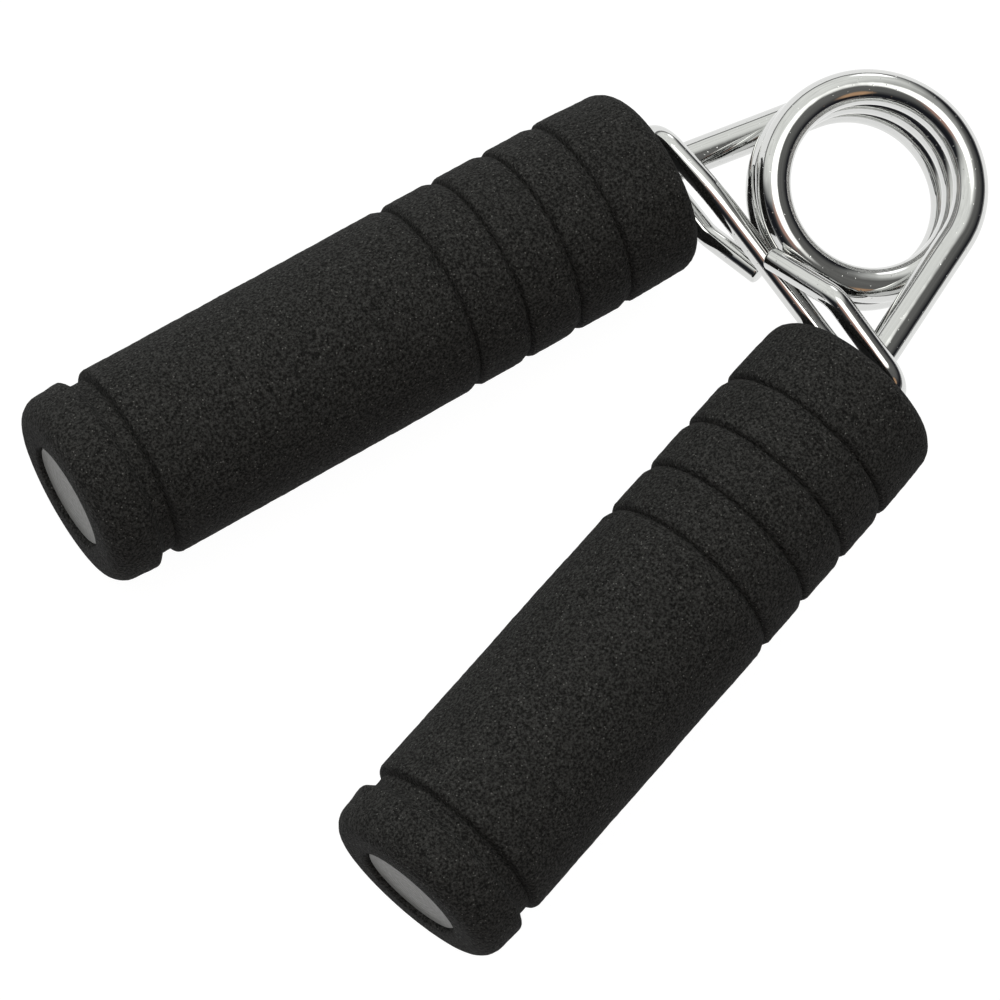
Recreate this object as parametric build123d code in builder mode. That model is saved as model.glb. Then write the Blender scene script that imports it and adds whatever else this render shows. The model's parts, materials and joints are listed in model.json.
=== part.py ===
from build123d import *
import os
from math import cos, radians, sin

# Hand grip strengthener: two foam-covered handles on the legs of a chromed torsion spring.
# A thinner wire link, hooked round both legs, keeps the handles from opening further.
#
# Millimetres and degrees. The origin is the centre of the coil. +Z runs along the coil's axis,
# +Y along the line midway between the handles, towards the coil, and +X towards the right handle.
# The object is the same after half a turn about Y, apart from the link's tips, so each left piece
# is its right piece turned over.

# Torsion spring: the wire comes off the coil tangentially, and bends where it enters a handle
wire_d = 4.95
coil_mean_r = 13.85
turn_gap = 0.45          # daylight between turns, which closes a little as the coil winds up
leg_splay = 16.5         # each leg's angle from the middle line
leg_run = 24.0           # from the coil to the bend at the handle
leg_levels_over = 1.5    # over this length the leg curves from the coil's slope to level
leg_bend_r = 14.0
leg_in_core = 57.0
half_cut = 0.7           # angle left off each half spring, where the two meet in mid coil

# Handles
handle_splay = 8.9       # each handle's angle from the middle line
bend_to_face = 1.5
grip_d = 28.0
grip_length = 95.1
grip_edge_r = 3.2
core_d = 15.2
foam_slack = 0.03        # radial clearance of the foam on its core
core_inset = 0.6         # the core's ends sit this far inside the foam's

# Grooves round the foam: four fine ones near the spring, and a wide one near the free end
fine_groove_first = 12.4
fine_groove_pitch = 8.27
fine_groove_count = 4
fine_groove_cutter_r = 1.3
fine_groove_depth = 0.85
wide_groove_at = 86.7
wide_groove_width = 3.2
wide_groove_depth = 1.2

# End plug: a flange that closes the core, on a stem pressed into the core's hollow end
plug_flange_t = 1.5
plug_stem_d = 10.9
plug_stem_length = 7.0
plug_edge = 0.3
core_hollow_length = 32.0
press_slack = 0.02

# Limiter link: an S of wire with an eye round each leg
link_wire_d = 3.3
link_y = -17.7           # the link's middle, just clear of the grips' ends
link_run_bend_x = 13.0   # the middle run bends here, up or down towards the eyes
link_run_bend_r = 30.0
link_eye_x = 24.4        # centre of the wire at the far side of an eye
link_eye_foot = 2.2
link_eye_height = 11.0
link_eye_corner_r = 3.9
link_tip_bend = (9.1, 0.15, link_eye_height)
link_tip_bend_r = 5.0
link_right_tip = (-0.8, -0.8, 3.9)
link_left_tip = (0.0, 1.4, -7.5)
link_far_dip = 0.2       # the eyes' outer ends dip towards the grips
link_lean = 4.5          # the link lies a little askew: its upper eye leans towards the coil,
link_turn = -1.6         # and its right end sits lower than its left

pitch = wire_d + turn_gap
half_coil_angle = 450 - leg_splay - half_cut
half_coil_height = pitch * half_coil_angle / 360


def in_plane(angle):
    """The level direction at this angle from the middle line, away from the coil, on the right."""
    return Vector(sin(radians(angle)), -cos(radians(angle)), 0)


def turned_over(piece):
    """The left-hand twin of a right-hand piece: the same piece after half a turn about Y."""
    with BuildPart() as twin:
        add(piece.part, rotation=(0, 180, 0))
    return twin


# Right half of the spring, from the middle of the coil up and round to the end of its leg
half_start = Plane(
    origin=(0, 0, pitch * half_cut / 360),
    x_dir=(sin(radians(half_cut)), cos(radians(half_cut)), 0),
    z_dir=(0, 0, 1),
)
coil_path = half_start * Helix(pitch, half_coil_height, coil_mean_r, lefthand=True)
coil_end = coil_path @ 1
coil_end_direction = coil_path % 1
leg_level = coil_end + (coil_end_direction + in_plane(leg_splay)).normalized() * leg_levels_over
leg_bend = leg_level + in_plane(leg_splay) * (leg_run - leg_levels_over)
leg_tip = leg_bend + in_plane(handle_splay) * leg_in_core
with BuildPart() as spring_half_right:
    with BuildSketch(Plane(origin=coil_path @ 0, z_dir=coil_path % 0)):
        Circle(wire_d / 2)
    sweep(path=coil_path)
    with BuildLine() as leg_path:
        TangentArc(coil_end, leg_level, tangent=coil_end_direction)
        FilletPolyline(leg_level, leg_bend, leg_tip, radius=leg_bend_r)
    with BuildSketch(Plane(origin=coil_end, z_dir=coil_end_direction)):
        Circle(wire_d / 2)
    sweep(path=leg_path.line)

# The right handle's profiles are drawn on a plane through its axis: x is the radius, and y the
# distance from the foam's spring end
face_centre = leg_bend + in_plane(handle_splay) * bend_to_face
handle_profile = Plane(
    origin=face_centre,
    x_dir=(cos(radians(handle_splay)), sin(radians(handle_splay)), 0),
    z_dir=(0, 0, -1),
)
handle_axis = Axis(origin=face_centre, direction=in_plane(handle_splay))

core_r = core_d / 2
grip_r = grip_d / 2
core_end = grip_length - core_inset - plug_flange_t

with BuildPart() as foam_grip_right:
    with BuildSketch(handle_profile) as grip_profile:
        wall = grip_r - core_r - foam_slack
        with Locations((grip_r, 0)):
            Rectangle(wall, grip_length, align=(Align.MAX, Align.MIN))
        outer_corners = grip_profile.vertices().group_by(Axis.X)[-1]
        fillet(outer_corners, grip_edge_r)
        fine_groove_centre_r = grip_r + fine_groove_cutter_r - fine_groove_depth
        for groove in range(fine_groove_count):
            with Locations((fine_groove_centre_r, fine_groove_first + groove * fine_groove_pitch)):
                Circle(fine_groove_cutter_r, mode=Mode.SUBTRACT)
        with Locations((grip_r, wide_groove_at)):
            Rectangle(2 * wide_groove_depth, wide_groove_width, mode=Mode.SUBTRACT)
    revolve(axis=handle_axis)

with BuildPart() as core_tube_right:
    with BuildSketch(handle_profile):
        with Locations((0, core_inset)):
            Rectangle(core_r, core_end - core_inset, align=(Align.MIN, Align.MIN))
        wire_bore_r = wire_d / 2 + press_slack
        Rectangle(wire_bore_r, core_end, align=(Align.MIN, Align.MIN), mode=Mode.SUBTRACT)
        with Locations((0, core_end)):
            hollow_r = plug_stem_d / 2 + press_slack
            Rectangle(
                hollow_r, core_hollow_length, align=(Align.MIN, Align.MAX), mode=Mode.SUBTRACT
            )
    revolve(axis=handle_axis)

with BuildPart() as end_plug_right:
    with BuildSketch(handle_profile):
        with Locations((0, core_end)):
            Rectangle(core_r, plug_flange_t, align=(Align.MIN, Align.MIN))
            Rectangle(plug_stem_d / 2, plug_stem_length, align=(Align.MIN, Align.MAX))
    revolve(axis=handle_axis)
    outer_rim = end_plug_right.edges().group_by(Axis.Y)[0]
    chamfer(outer_rim, plug_edge)

# Limiter link, in its own frame: x across, y towards the coil, z along the coil's axis
link_plane = Plane(origin=(0, link_y, 0)) * Rotation(-link_lean, 0, link_turn)
right_eye = [
    (link_run_bend_x, 0, 0),
    (link_eye_x, -link_far_dip, link_eye_foot),
    (link_eye_x, -link_far_dip, link_eye_height),
    link_tip_bend,
]
left_eye = [(-x, y, -z) for x, y, z in reversed(right_eye)]
eye_radii = [link_run_bend_r, link_eye_corner_r, link_eye_corner_r, link_tip_bend_r]
with BuildPart() as limiter_link:
    with BuildLine(link_plane) as link_path:
        FilletPolyline(
            link_left_tip, *left_eye, *right_eye, link_right_tip, radius=eye_radii[::-1] + eye_radii
        )
    with BuildSketch(Plane(origin=link_path.line @ 0, z_dir=link_path.line % 0)):
        Circle(link_wire_d / 2)
    sweep(path=link_path.line)

right_pieces = {
    "spring_half": spring_half_right,
    "foam_grip": foam_grip_right,
    "core_tube": core_tube_right,
    "end_plug": end_plug_right,
}

os.makedirs("parts", exist_ok=True)
for kind, right_piece in right_pieces.items():
    for side, piece in (("right", right_piece), ("left", turned_over(right_piece))):
        piece.part.label = f"{kind}_{side}"
        export_step(piece.part, f"parts/{kind}_{side}.step")

limiter_link.part.label = "limiter_link"
export_step(limiter_link.part, "parts/limiter_link.step")
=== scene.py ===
import json
from math import acos, cos, exp, pi, radians, sin, sqrt, tan

import bpy
from mathutils import Matrix, Vector, noise


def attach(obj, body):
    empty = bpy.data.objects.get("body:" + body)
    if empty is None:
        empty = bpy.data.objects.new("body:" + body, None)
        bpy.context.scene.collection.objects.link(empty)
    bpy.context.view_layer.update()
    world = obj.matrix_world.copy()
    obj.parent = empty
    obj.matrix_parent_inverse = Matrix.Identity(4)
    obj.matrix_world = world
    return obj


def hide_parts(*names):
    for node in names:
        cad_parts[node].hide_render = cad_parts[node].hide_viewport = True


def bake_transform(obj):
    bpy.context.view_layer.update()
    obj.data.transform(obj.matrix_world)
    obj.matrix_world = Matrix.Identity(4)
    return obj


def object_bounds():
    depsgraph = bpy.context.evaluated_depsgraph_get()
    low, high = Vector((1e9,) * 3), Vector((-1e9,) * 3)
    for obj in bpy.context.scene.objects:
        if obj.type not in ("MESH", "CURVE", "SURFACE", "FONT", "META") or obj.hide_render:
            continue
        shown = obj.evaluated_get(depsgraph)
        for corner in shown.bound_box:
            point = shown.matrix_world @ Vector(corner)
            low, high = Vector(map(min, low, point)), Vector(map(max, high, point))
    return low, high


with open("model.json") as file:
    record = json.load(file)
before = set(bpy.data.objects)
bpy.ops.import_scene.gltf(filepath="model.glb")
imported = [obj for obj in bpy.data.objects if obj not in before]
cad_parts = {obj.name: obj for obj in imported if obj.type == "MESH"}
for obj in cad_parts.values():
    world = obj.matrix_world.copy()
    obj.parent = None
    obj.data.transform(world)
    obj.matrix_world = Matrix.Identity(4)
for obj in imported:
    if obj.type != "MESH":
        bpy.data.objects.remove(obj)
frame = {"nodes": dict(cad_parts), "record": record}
cad_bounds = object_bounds()

# Hand grip strengthener. Shapes are worked out in millimetres in the CAD's frame: origin at the
# centre of the coil, +Z along the coil's axis, +Y towards the coil, +X towards the right handle.
MM = 0.001
HALF_TURN = Matrix.Rotation(pi, 4, "Y")   # carries a right-hand piece onto its left-hand twin

# Spring wire, with the CAD's own driving dimensions
WIRE_R = 4.95 / 2
COIL_R = 13.85
PITCH = 5.4
LEG_SPLAY = radians(16.5)
LEG_RUN = 24.0
LEG_LEVELS_OVER = 1.5
LEG_BEND_R = 14.0
LEG_IN_CORE = 57.0
HANDLE_SPLAY = radians(8.9)
HALF_COIL = radians(450) - LEG_SPLAY   # how far round the coil goes from its middle to a leg
COIL_STEP = radians(2)                 # between points on the coil's centreline

# Limiter link, in its own plane: x across, y towards the coil, z along the coil's axis
LINK_R = 3.3 / 2
LINK_Y = -17.7
LINK_LEAN = radians(4.5)
LINK_TURN = radians(-1.6)
LINK_RIGHT_EYE = [(13.0, 0, 0), (24.4, -0.2, 2.2), (24.4, -0.2, 11.0), (9.1, 0.15, 11.0)]
LINK_EYE_RADII = [30.0, 3.9, 3.9, 5.0]
LINK_RIGHT_TIP = (-0.8, -0.8, 3.9)
LINK_LEFT_TIP = (0.0, 1.4, -7.5)
LINK_TIP_EDGE = 0.45        # the rims of the cut tips are rounded by this much

# Foam sleeve, as stations along the handle from its spring end
SLEEVE_R = 14.0
SLEEVE_EDGE_R = 3.2
SLEEVE_NIP = 0.25           # it is narrower by this much near its spring end,
SLEEVE_NIP_AT = 1.0         # most of all at this station,
SLEEVE_NIP_LENGTH = 6.0     # and less and less over about this length
FINE_GROOVE_FIRST = 12.0
FINE_GROOVE_PITCH = 8.27
FINE_GROOVE_COUNT = 4
FINE_GROOVE_DEPTH = 0.85
FINE_GROOVE_STEEP = 0.6     # length of the wall on the spring side
FINE_GROOVE_GENTLE = 2.1    # length of the slope on the other side
FINE_GROOVE_CUT = 0.35      # share by which the walls are cut short at the crease, to meet in a V
WIDE_GROOVE_DEPTH = 1.12
WIDE_GROOVE_WALLS = (84.75, 85.35, 87.2, 88.7)   # where the two walls start and end
WIDE_GROOVE_LIP = 0.18      # the foam swells a little beyond the groove
WIDE_GROOVE_LIP_LENGTH = 3.5
CREASE_DEPTH = 0.5          # the cutter leaves a sharp crease at the foot of each steep wall
CREASE_HALF = 0.28
BORE_SLACK = 0.03           # between the foam and its core
BORE_EDGE = 0.35            # the foam's bore opens out a little at both ends
SWELLS = [(0.11, 0.07), (0.9, 0.055), (2.1, 0.03)]   # fineness and height of its unevenness
SWELL_STARTS = 0.5          # the bore stays true: the unevenness starts this far outside it,
SWELL_FULL = 2.5            # and has its full height from here on
FINE_GROOVES = [FINE_GROOVE_FIRST + FINE_GROOVE_PITCH * i for i in range(FINE_GROOVE_COUNT)]

# Steps between the points of a sleeve's outline
GROOVE_STEP = 0.1
BARREL_STEP = 0.45
SLEEVE_STEP = 0.9           # the most that two neighbours are apart
WIDE_GROOVE_MARGINS = (0.2, 0.4)   # the groove's small steps start before it and end after it

# Each sleeve has its own seed. Its noise is moved by the seed times these, so the two differ
FIRST_SEED = 3
SWELL_SHIFT = 17.3
GRAIN_SHIFT = 40.0

# End plug, whose place and width are measured from the CAD
PLUG_FLANGE_T = 1.5
PLUG_STEM_R = 5.45
PLUG_STEM_EDGE = 0.4
PLUG_RIM_R = 0.45
PLUG_DISH = 0.17            # the face is dished by this much inside the rim,
PLUG_DISH_EDGE = 0.5        # with a steep edge of this width
PLUG_DISH_STEEP = 0.7       # that takes this share of the depth
PLUG_STEP = 0.35            # the most that two neighbours in its outline are apart
PLUG_CENTRE_R = 0.01        # radius of the tiny flat at the middle of its faces

# Camera: where it looks, and from which direction
VIEW_TARGET = (1.9, -69.0, 0.0)
VIEW_AZIMUTH = radians(0.41)
VIEW_ELEVATION = radians(74.81)
VIEW_ROLL = radians(51.66)
VIEW_DISTANCE = 689.9
VIEW_LENS = 182.3
VIEW_SENSOR = 36
VIEW_NEAREST = 10.0         # nothing closer to the camera is drawn

# The studio: a glowing floor, and a dim room with soft patches of light. Each patch has its
# direction, how many degrees from there it is solid and where it has faded out, and its colour
FLOOR_HALF = 3000
FLOOR_TONE = 0.12
FLOOR_ROUGHNESS = 0.9
FLOOR_GLOW = 0.97
ROOM_COLOUR = (0.014, 0.015, 0.019)
ROOM_FOLDS = 7.0                  # how fine the light's unevenness is
ROOM_FOLD_STRENGTH = (0.7, 1.3)   # and how dim and bright it makes the light
ROOM_PATCHES = [
    ((0.10, 0.10, 0.98), 20, 66, (0.15, 0.15, 0.145)),      # glow round the overhead light
    ((-0.10, -0.42, 0.90), 6, 18, (0.45, 0.27, 0.22)),      # warm edge of the overhead light
    ((0.79, -0.17, 0.59), 4, 15, (0.55, 0.34, 0.20)),       # warm lamp on the right
    ((-0.85, 0.15, 0.50), 34, 62, (0.95, 0.96, 0.93)),      # pale wall on the left
    ((0, 0, -1), 95, 103, (0.22, 0.22, 0.22)),              # shade along the floor's far edge
    ((-0.60, 0.74, 0.31), 6, 10, (2.2, 2.2, 2.2)),          # window behind
    ((-0.15, -0.05, 0.99), 5, 23, (3.2, 3.2, 3.1)),         # overhead light
]


# ---------------------------------------------------------------- measures taken from the frame

def handle_line():
    """A point on the right handle's axis and the direction away from the coil, in millimetres."""
    mount = next(m for m in frame["record"]["mounts"] if m["name"] == "grip_barrel_right")
    return Vector(mount["pos_m"]) / MM, Vector(mount["axis"])


def stations(node):
    """How far a node reaches along the right handle's axis, from the axis's point."""
    point, axis = handle_line()
    along = [(v.co / MM - point).dot(axis) for v in frame["nodes"][node].data.vertices]
    return min(along), max(along)


def widest(node):
    """A node's largest radius about the right handle's axis."""
    point, axis = handle_line()
    return max((v.co / MM - point).cross(axis).length for v in frame["nodes"][node].data.vertices)


def handle_matrix():
    """The right handle's own frame: z runs from the sleeve's spring end to its free end."""
    point, axis = handle_line()
    start = point + axis * stations("foam_grip_right")[0]
    x_axis = Vector((0, 0, 1)).cross(axis).normalized()
    turn = Matrix((x_axis, axis.cross(x_axis), axis)).transposed().to_4x4()
    return Matrix.Translation(start * MM) @ turn


# ---------------------------------------------------------------- mesh helpers

def new_object(name, vertices, faces, matrix=None):
    """A smooth-shaded mesh object from points in millimetres, placed by a matrix in metres."""
    mesh = bpy.data.meshes.new(name)
    mesh.from_pydata([Vector(v) * MM for v in vertices], [], faces)
    mesh.validate()
    mesh.shade_smooth()
    piece = bpy.data.objects.new(name, mesh)
    bpy.context.scene.collection.objects.link(piece)
    if matrix is not None:
        piece.matrix_world = matrix
    return piece


def arc(start, corner, end, radius, step=radians(3)):
    """Points on the arc of this radius that rounds off the corner between two straight runs."""
    to_start = (start - corner).normalized()
    to_end = (end - corner).normalized()
    half = acos(max(-1, min(1, to_start.dot(to_end)))) / 2
    turn = pi - 2 * half
    reach = radius / tan(half)
    middle = corner + (to_start + to_end).normalized() * (radius / sin(half))
    first = corner + to_start * reach - middle
    outward = first.normalized()
    side = (-to_start - outward * (-to_start).dot(outward)).normalized() * radius
    count = max(2, round(turn / step))
    angles = [turn * i / count for i in range(count + 1)]
    return [middle + first * cos(a) + side * sin(a) for a in angles]


def rounded(points, radii):
    """A centreline of straight runs joined by arcs, one radius for each inner corner."""
    line = [points[0]]
    for before, corner, after, radius in zip(points, points[1:], points[2:], radii):
        line += arc(before, corner, after, radius)
    return line + [points[-1]]


def tube(name, line, radii, sides):
    """A closed tube along a centreline, with a radius at each of its points."""
    last = len(line) - 1
    across = (line[1] - line[0]).normalized().orthogonal().normalized()
    vertices = []
    for i, (point, radius) in enumerate(zip(line, radii)):
        tangent = (line[min(i + 1, last)] - line[max(i - 1, 0)]).normalized()
        across = (across - tangent * across.dot(tangent)).normalized()
        other = tangent.cross(across)
        angles = [2 * pi * j / sides for j in range(sides)]
        vertices += [point + (across * cos(a) + other * sin(a)) * radius for a in angles]
    return new_object(name, vertices, capped_faces(len(line), sides))


def lathed(outline, sides):
    """Points all the way round the z axis, from an outline of (station, radius) points."""
    angles = [2 * pi * i / sides for i in range(sides)]
    return [Vector((r * cos(a), r * sin(a), station)) for station, r in outline for a in angles]


def ring_faces(rings, sides, closed=False):
    """Quads between neighbouring rings of a lathed or swept surface."""
    faces = []
    for ring in range(rings if closed else rings - 1):
        here, there = ring * sides, (ring + 1) % rings * sides
        for i in range(sides):
            j = (i + 1) % sides
            faces.append((here + i, here + j, there + j, there + i))
    return faces


def capped_faces(rings, sides):
    """The quads between the rings, with a flat face over each end."""
    last = (rings - 1) * sides
    caps = [list(range(sides))[::-1], [last + i for i in range(sides)]]
    return ring_faces(rings, sides) + caps


def resampled(profile, step):
    """The same outline of (station, radius) points, with none further apart than the step."""
    dense = []
    for a, b in zip(profile, profile[1:]):
        count = max(1, round(sqrt((b[0] - a[0]) ** 2 + (b[1] - a[1]) ** 2) / step))
        dense += [(a[0] + (b[0] - a[0]) * i / count, a[1] + (b[1] - a[1]) * i / count)
                  for i in range(count)]
    return dense + [profile[-1]]


def quarter(station, radius, size, start, end, count=10):
    """Points on a small arc about (station, radius), from one angle to another."""
    angles = [start + (end - start) * i / count for i in range(count + 1)]
    return [(station + size * cos(a), radius + size * sin(a)) for a in angles]


# ---------------------------------------------------------------- node helpers

class Nodes:
    """A node tree, with short calls for adding nodes and links.

    Its textures read the kind of texture coordinates that it is made with, unless told otherwise.
    """

    def __init__(self, tree, kind):
        self.tree = tree
        self.coordinates = (self.add("ShaderNodeTexCoord"), kind)

    def add(self, kind, **settings):
        node = self.tree.nodes.new(kind)
        for key, value in settings.items():
            setattr(node, key, value)
        return node

    def link(self, source, target, key=0):
        """Links a node's output to a node's input; source may name an output as (node, output)."""
        node, output = source if isinstance(source, tuple) else (source, 0)
        self.tree.links.new(node.outputs[output], target.inputs[key])

    def noise(self, scale, detail=2.0, roughness=0.5, at=None):
        node = self.add("ShaderNodeTexNoise")
        node.inputs["Scale"].default_value = scale
        node.inputs["Detail"].default_value = detail
        node.inputs["Roughness"].default_value = roughness
        self.link(at or self.coordinates, node, "Vector")
        return node

    def cells(self, scale, at=None):
        node = self.add("ShaderNodeTexVoronoi")
        node.inputs["Scale"].default_value = scale
        self.link(at or self.coordinates, node, "Vector")
        return node

    def ramp(self, source, stops):
        """Turns a value into a colour or a grey, from (position, colour or grey) stops."""
        node = self.add("ShaderNodeValToRGB")
        elements = node.color_ramp.elements
        while len(elements) < len(stops):
            elements.new(0.5)
        for element, (position, tone) in zip(elements, stops):
            element.position = position
            element.color = (*(tone if isinstance(tone, tuple) else (tone, tone, tone)), 1)
        self.link(source, node, "Fac")
        return node

    def math(self, operation, a, b):
        node = self.add("ShaderNodeMath", operation=operation)
        for i, value in enumerate((a, b)):
            if isinstance(value, (int, float)):
                node.inputs[i].default_value = value
            else:
                self.link(value, node, i)
        return node

    def mix(self, factor, a, b):
        """Blends colour a towards the fixed colour b by a factor node."""
        node = self.add("ShaderNodeMixRGB")
        self.link(factor, node, "Fac")
        self.link(a, node, "Color1")
        node.inputs["Color2"].default_value = (*b, 1)
        return node

    def bump(self, height, distance, strength=1.0, before=None):
        """A bumpy normal, up to this distance high in millimetres."""
        node = self.add("ShaderNodeBump")
        node.inputs["Distance"].default_value = distance * MM
        node.inputs["Strength"].default_value = strength
        self.link(height, node, "Height")
        if before is not None:
            self.link(before, node, "Normal")
        return node


class Surface(Nodes):
    """A material's nodes, whose textures read the piece's own millimetres."""

    def __init__(self, name):
        self.material = bpy.data.materials.new(name)
        self.material.use_nodes = True
        super().__init__(self.material.node_tree, "Object")
        self.shader = self.tree.nodes["Principled BSDF"]
        millimetres = self.add("ShaderNodeVectorMath", operation="SCALE")
        millimetres.inputs["Scale"].default_value = 1 / MM
        self.link(self.coordinates, millimetres)
        self.coordinates = millimetres

    def constant(self, **values):
        for key, value in values.items():
            self.shader.inputs[key.replace("_", " ")].default_value = value

    def moved(self, operation, amounts):
        """The coordinates with three amounts added, or multiplied by them."""
        node = self.add("ShaderNodeVectorMath", operation=operation)
        self.link(self.coordinates, node)
        node.inputs[1].default_value = amounts
        return node


# ---------------------------------------------------------------- materials

def chrome():
    """Bright plate on drawn wire: fine polishing haze, pits and faint waviness."""
    m = Surface("chrome")
    m.constant(Metallic=1.0, Base_Color=(0.66, 0.665, 0.655, 1))
    haze = m.noise(scale=1.6, detail=4)
    m.link(m.ramp(haze, [(0.35, 0.035), (0.75, 0.10)]), m.shader, "Roughness")
    waves = m.bump(m.noise(scale=0.35, detail=1), distance=0.03)
    pits = m.ramp(m.cells(scale=1.3), [(0.0, 0.0), (0.14, 1.0)])
    m.link(m.bump(pits, distance=0.04, strength=0.6, before=waves), m.shader, "Normal")
    return m.material


def foam(side, offset):
    """Charcoal closed-cell foam: cut cells as grain, cloudy tone, and a few pale specks."""
    dark, pale = (0.009, 0.009, 0.0087), (0.0135, 0.0135, 0.013)
    grain_tone, speck_tone = (0.082, 0.082, 0.079), (0.20, 0.20, 0.19)
    m = Surface(f"foam_{side}")
    at = m.moved("ADD", offset)
    m.constant(Metallic=0.0, Specular_IOR_Level=0.12, Roughness=0.95)
    clouded = m.ramp(m.noise(scale=0.3, detail=3, at=at), [(0.3, dark), (0.7, pale)])
    grain = m.noise(scale=2.7, detail=3, roughness=0.7, at=at)
    grained = m.mix(m.ramp(grain, [(0.40, 0.0), (0.70, 1.0)]), clouded, grain_tone)
    specks = m.ramp(m.cells(scale=1.15, at=at), [(0.0, 1.0), (0.08, 0.8), (0.14, 0.0)])
    m.link(m.mix(specks, grained, speck_tone), m.shader, "Base Color")
    pores = m.bump(m.cells(scale=3.0, at=at), distance=0.18, strength=0.8)
    m.link(m.bump(grain, distance=0.25, strength=0.7, before=pores), m.shader, "Normal")
    return m.material


def pale_plastic():
    """Pale grey moulded plastic with faint turned rings about the plug's axis, and scratches."""
    dark, pale, scratch_tone = (0.14, 0.14, 0.132), (0.195, 0.195, 0.185), (0.27, 0.27, 0.26)
    m = Surface("plug_plastic")
    m.constant(Specular_IOR_Level=0.45, Metallic=0.0)
    clouded = m.ramp(m.noise(scale=0.6, detail=4), [(0.3, dark), (0.75, pale)])
    stretched = m.moved("MULTIPLY", (0.35, 5.0, 0.35))
    scratches = m.ramp(m.noise(scale=1.0, detail=3, at=stretched), [(0.52, 0.0), (0.75, 0.7)])
    m.link(m.mix(scratches, clouded, scratch_tone), m.shader, "Base Color")
    split = m.add("ShaderNodeSeparateXYZ")
    m.link(m.coordinates, split, "Vector")
    squares = [m.math("MULTIPLY", (split, i), (split, i)) for i in (0, 1)]
    radius = m.math("SQRT", m.math("ADD", *squares), 0)
    rings = m.math("SINE", m.math("MULTIPLY", radius, 7.0), 0)
    haze = m.noise(scale=2.0, detail=3)
    m.link(m.ramp(haze, [(0.3, 0.38), (0.7, 0.52)]), m.shader, "Roughness")
    m.link(m.bump(rings, distance=0.03, strength=0.5), m.shader, "Normal")
    return m.material


def core_plastic():
    """Black moulded plastic with a fine spark-eroded texture."""
    dark, pale = (0.012, 0.012, 0.012), (0.02, 0.02, 0.02)
    m = Surface("core_plastic")
    m.constant(Specular_IOR_Level=0.4)
    clouds = m.noise(scale=1.2, detail=3)
    m.link(m.ramp(clouds, [(0.3, dark), (0.7, pale)]), m.shader, "Base Color")
    m.link(m.ramp(m.noise(scale=5.0), [(0.3, 0.45), (0.7, 0.6)]), m.shader, "Roughness")
    texture = m.noise(scale=7.0, detail=3)
    m.link(m.bump(texture, distance=0.04, strength=0.6), m.shader, "Normal")
    return m.material


# ---------------------------------------------------------------- wire pieces

def level(angle):
    """The level direction at this angle from the middle line, away from the coil, on the right."""
    return Vector((sin(angle), -cos(angle), 0))


def coil_half():
    """The right half of the coil's centreline, from mid coil up to where the leg comes off."""
    count = round(HALF_COIL / COIL_STEP)
    turns = [HALF_COIL * i / count for i in range(1, count + 1)]
    return [Vector((COIL_R * sin(t), COIL_R * cos(t), PITCH * t / (2 * pi))) for t in turns]


def spring_wire(material):
    """The whole torsion spring as one wire in a single fixed shape; the real spring winds up as
    the handles close.
    """
    half = coil_half()
    leg_direction = level(LEG_SPLAY)
    slope = PITCH / (2 * pi * COIL_R)
    leaving = (leg_direction + Vector((0, 0, slope))).normalized()
    leg_level = half[-1] + (leaving + leg_direction).normalized() * LEG_LEVELS_OVER
    leg_bend = leg_level + leg_direction * (LEG_RUN - LEG_LEVELS_OVER)
    leg_tip = leg_bend + level(HANDLE_SPLAY) * LEG_IN_CORE
    half += rounded([leg_level, leg_bend, leg_tip], [LEG_BEND_R])
    twin = [HALF_TURN @ p for p in reversed(half)]
    line = twin + [Vector((0, COIL_R, 0))] + half
    wire = tube("spring_wire", line, [WIRE_R] * len(line), sides=64)
    wire.data.materials.append(material)
    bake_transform(wire)
    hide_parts("spring_half_left", "spring_half_right")


def cropped(line, rings=6):
    """The link's centreline and its radii, with the rims of both tips rounded off."""
    angles = [pi / 2 * i / rings for i in range(rings + 1)]
    insets = [LINK_TIP_EDGE * (1 - sin(a)) for a in angles]
    rim_radii = [LINK_R - LINK_TIP_EDGE * (1 - cos(a)) for a in angles]
    inward = (line[1] - line[0]).normalized()
    head = [line[0] + inward * inset for inset in reversed(insets)]
    inward = (line[-2] - line[-1]).normalized()
    tail = [line[-1] + inward * inset for inset in insets]
    body = line[1:-1]
    return head + body + tail, rim_radii[::-1] + [LINK_R] * len(body) + rim_radii


def link_wire(material):
    """The limiter link: an eye round each leg, and two cropped tips."""
    eye = [Vector(p) for p in LINK_RIGHT_EYE]
    twin = [HALF_TURN @ p for p in reversed(eye)]
    points = [Vector(LINK_LEFT_TIP)] + twin + eye + [Vector(LINK_RIGHT_TIP)]
    corner_radii = LINK_EYE_RADII[::-1] + LINK_EYE_RADII
    place = Matrix.Rotation(-LINK_LEAN, 4, "X") @ Matrix.Rotation(LINK_TURN, 4, "Z")
    line = [place @ p + Vector((0, LINK_Y, 0)) for p in rounded(points, corner_radii)]
    line, radii = cropped(line)
    wire = tube("limiter_link_wire", line, radii, sides=48)
    wire.data.materials.append(material)
    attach(wire, "limiter_link")
    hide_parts("limiter_link")


# ---------------------------------------------------------------- handle pieces

def eased(value, start, end):
    """0 before start, 1 after end, and a smooth climb between them."""
    t = min(1, max(0, (value - start) / (end - start)))
    return t * t * (3 - 2 * t)


def groove(past):
    """A fine groove's share of its depth, this far past its crease."""
    reach = FINE_GROOVE_GENTLE if past > 0 else FINE_GROOVE_STEEP
    return 1 - eased(abs(past), -FINE_GROOVE_CUT * reach, reach)


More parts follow.
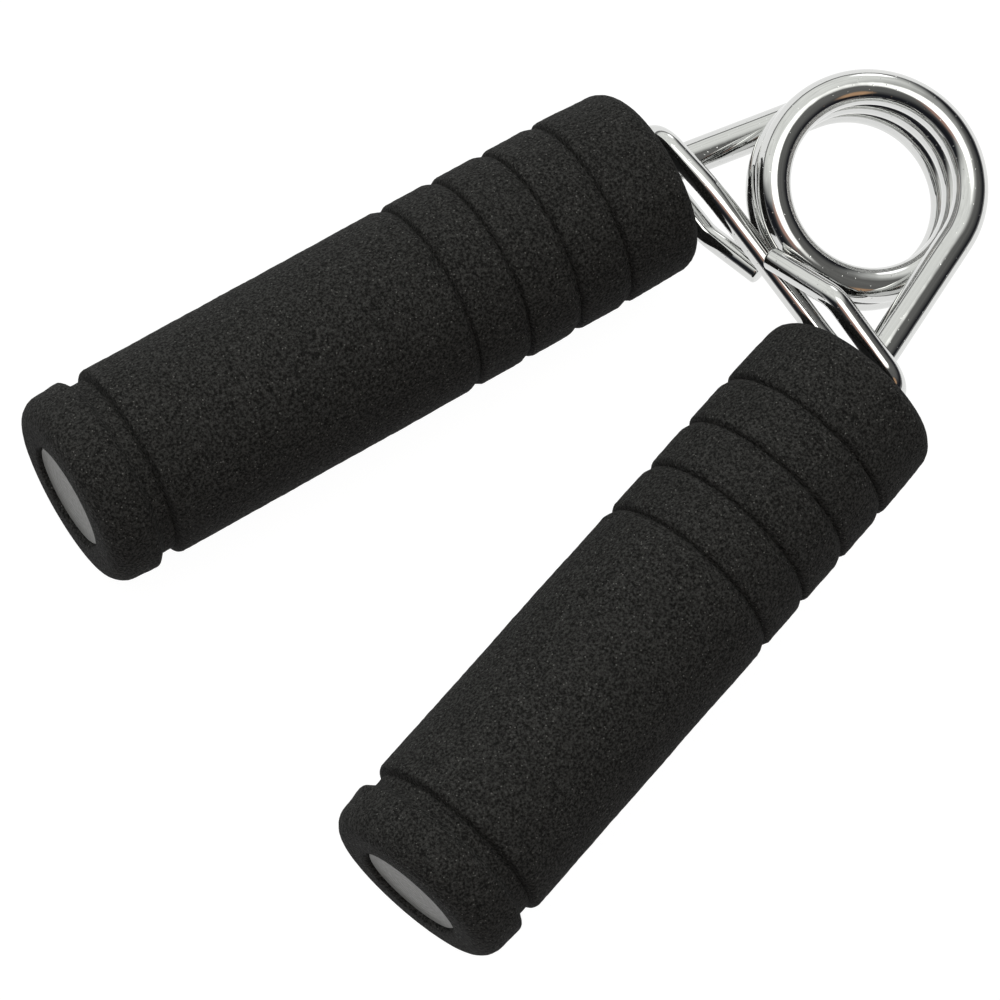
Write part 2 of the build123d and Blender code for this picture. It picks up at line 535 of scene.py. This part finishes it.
def sleeve_radius(station):
    """The foam's outer radius: the nip at the spring end, the grooves and their creases."""
    radius = SLEEVE_R - SLEEVE_NIP * exp(-((station - SLEEVE_NIP_AT) / SLEEVE_NIP_LENGTH) ** 2)
    for crease in FINE_GROOVES:
        radius -= FINE_GROOVE_DEPTH * groove(station - crease)
    near_top, near_foot, far_foot, far_top = WIDE_GROOVE_WALLS
    climbed = eased(station, far_foot, far_top)
    depth = eased(station, near_top, near_foot) * (1 - climbed)
    lip = climbed * (1 - eased(station, far_top, far_top + WIDE_GROOVE_LIP_LENGTH))
    radius += WIDE_GROOVE_LIP * lip - WIDE_GROOVE_DEPTH * depth
    for crease in FINE_GROOVES + [near_foot]:
        radius -= CREASE_DEPTH * (1 - eased(abs(station - crease), 0, CREASE_HALF))
    return radius


def sleeve_stations(length):
    """Stations along the straight stretch, closer together in the grooves."""
    station, last = SLEEVE_EDGE_R, length - SLEEVE_EDGE_R
    wide_start = WIDE_GROOVE_WALLS[0] - WIDE_GROOVE_MARGINS[0]
    wide_end = WIDE_GROOVE_WALLS[-1] + WIDE_GROOVE_MARGINS[1]
    found = []
    while station < last:
        in_fine = any(-FINE_GROOVE_STEEP < station - c < FINE_GROOVE_GENTLE for c in FINE_GROOVES)
        in_wide = wide_start < station < wide_end
        station += GROOVE_STEP if in_fine or in_wide else BARREL_STEP
        found.append(min(station, last))
    return found[:-1]


def sleeve_profile(length, bore):
    """The sleeve's outline as (station, radius) points, all the way round."""
    edge = SLEEVE_EDGE_R
    profile = [(BORE_EDGE, bore), (0.0, bore + BORE_EDGE)]
    profile += quarter(edge, sleeve_radius(edge) - edge, edge, pi, pi / 2)
    profile += [(station, sleeve_radius(station)) for station in sleeve_stations(length)]
    profile += quarter(length - edge, sleeve_radius(length - edge) - edge, edge, pi / 2, 0)
    profile += [(length, bore + BORE_EDGE), (length - BORE_EDGE, bore)]
    return profile


def worn(point, bore, seed):
    """A point of the sleeve moved by the unevenness of ground foam; the bore stays true."""
    outward = Vector((point.x, point.y, 0))
    past_bore = outward.length - bore - SWELL_STARTS
    share = min(1, max(0, past_bore / (SWELL_FULL - SWELL_STARTS)))
    offset = Vector((seed, 2 * seed, 0))
    swell = sum(height * noise.noise(point * fineness + offset) for fineness, height in SWELLS)
    return point + outward.normalized() * share * swell


def foam_sleeve(side, matrix, seed, material, sides=180):
    """One foam sleeve, lathed and then roughened as ground foam is."""
    first, last = stations("foam_grip_right")
    bore = widest("core_tube_right") + BORE_SLACK
    outline = sleeve_profile(last - first, bore)
    outline = resampled(outline + [outline[0]], SLEEVE_STEP)[:-1]
    vertices = [worn(point, bore, seed) for point in lathed(outline, sides)]
    faces = ring_faces(len(outline), sides, closed=True)
    sleeve = new_object(f"foam_sleeve_{side}", vertices, faces, matrix)
    sleeve.data.flip_normals()
    sleeve.data.materials.append(material)
    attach(sleeve, f"{side}_handle")
    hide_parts(f"foam_grip_{side}")


def plug_profile(low, high, flange_r):
    """The plug's outline from its stem's end to its face, as (station, radius) points."""
    shoulder = high - PLUG_FLANGE_T
    rim_inner_r = flange_r - PLUG_RIM_R
    profile = [(low, PLUG_CENTRE_R), (low, PLUG_STEM_R - PLUG_STEM_EDGE)]
    profile += [(low + PLUG_STEM_EDGE, PLUG_STEM_R), (shoulder, PLUG_STEM_R), (shoulder, flange_r)]
    profile += quarter(high - PLUG_RIM_R, rim_inner_r, PLUG_RIM_R, pi / 2, 0)
    profile.append((high - PLUG_DISH_STEEP * PLUG_DISH, rim_inner_r - PLUG_DISH_EDGE))
    profile.append((high - PLUG_DISH, PLUG_CENTRE_R))
    return profile


def end_plug(side, matrix, material, sides=96):
    """The plug that closes a core: a shallow dished face with a soft rim, on its stem."""
    sleeve_start = stations("foam_grip_right")[0]
    low, high = (s - sleeve_start for s in stations("end_plug_right"))
    outline = resampled(plug_profile(low, high, widest("end_plug_right")), PLUG_STEP)
    faces = capped_faces(len(outline), sides)
    plug = new_object(f"plug_disc_{side}", lathed(outline, sides), faces, matrix)
    plug.data.materials.append(material)
    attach(plug, f"{side}_handle")
    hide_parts(f"end_plug_{side}")


# ---------------------------------------------------------------- studio

def camera():
    """A long lens looking steeply down on the grip, rolled so that the handles run down-left."""
    azimuth, elevation = VIEW_AZIMUTH, VIEW_ELEVATION
    level_part = Vector((sin(azimuth), cos(azimuth), 0)) * cos(elevation)
    forward = level_part - Vector((0, 0, sin(elevation)))
    right = forward.cross(Vector((0, 0, 1))).normalized()
    up = right.cross(forward)
    x_axis = right * cos(VIEW_ROLL) + up * sin(VIEW_ROLL)
    y_axis = up * cos(VIEW_ROLL) - right * sin(VIEW_ROLL)
    turn = Matrix((x_axis, y_axis, -forward)).transposed().to_4x4()
    data = bpy.data.cameras.new("camera")
    data.lens = VIEW_LENS
    data.sensor_width = VIEW_SENSOR
    data.clip_start = VIEW_NEAREST * MM
    eye = (Vector(VIEW_TARGET) - forward * VIEW_DISTANCE) * MM
    viewer = bpy.data.objects.new("camera", data)
    viewer.matrix_world = Matrix.Translation(eye) @ turn
    bpy.context.scene.collection.objects.link(viewer)
    bpy.context.scene.camera = viewer


def floor():
    """A wide floor at the height of the CAD's lowest point, which glows so shadows hardly show."""
    half, lowest = FLOOR_HALF, cad_bounds[0][2] / MM
    corners = ((-half, -half), (half, -half), (half, half), (-half, half))
    ground = new_object("floor", [(x, y, lowest) for x, y in corners], [(0, 1, 2, 3)])
    m = Surface("floor")
    m.constant(Base_Color=(FLOOR_TONE, FLOOR_TONE, FLOOR_TONE, 1), Roughness=FLOOR_ROUGHNESS)
    m.constant(Emission_Color=(1, 1, 1, 1), Emission_Strength=FLOOR_GLOW)
    ground.data.materials.append(m.material)
    ground.visible_diffuse = False   # its glow doesn't light the foam from below


def surroundings():
    """The dim room, with its soft patches of light laid over one another."""
    world = bpy.data.worlds.new("studio")
    bpy.context.scene.world = world
    world.use_nodes = True
    room = Nodes(world.node_tree, "Generated")
    light = room.add("ShaderNodeRGB")
    light.outputs[0].default_value = (*ROOM_COLOUR, 1)
    for direction, solid, gone, colour in ROOM_PATCHES:
        toward = room.add("ShaderNodeVectorMath", operation="DOT_PRODUCT")
        toward.inputs[1].default_value = Vector(direction).normalized()
        room.link(room.coordinates, toward)
        share = room.add("ShaderNodeMapRange", interpolation_type="SMOOTHSTEP")
        share.inputs["From Min"].default_value = cos(radians(gone))
        share.inputs["From Max"].default_value = cos(radians(solid))
        room.link((toward, "Value"), share, "Value")
        light = room.mix(share, light, colour)
    strength = room.add("ShaderNodeMapRange")
    dimmest, brightest = ROOM_FOLD_STRENGTH
    strength.inputs["To Min"].default_value = dimmest
    strength.inputs["To Max"].default_value = brightest
    room.link(room.noise(scale=ROOM_FOLDS), strength, "Value")
    background = room.tree.nodes["Background"]
    room.link(strength, background, "Strength")
    room.link(light, background, "Color")


def studio():
    """The camera, the floor and the light, with colours shown as they are."""
    camera()
    floor()
    surroundings()
    settings = bpy.context.scene.view_settings
    settings.view_transform = "Standard"
    settings.look = "None"


# ---------------------------------------------------------------- assembly

wire_material = chrome()
plug_material = pale_plastic()
core_material = core_plastic()
right_place = handle_matrix()
places = {"right": right_place, "left": HALF_TURN @ right_place}

spring_wire(wire_material)
link_wire(wire_material)
for seed, (side, place) in enumerate(places.items(), start=FIRST_SEED):
    foam_sleeve(side, place, seed * SWELL_SHIFT, foam(side, (seed * GRAIN_SHIFT, 0, 0)))
    end_plug(side, place, plug_material)
    core = frame["nodes"][f"core_tube_{side}"]
    core.data.materials.clear()
    core.data.materials.append(core_material)
studio()
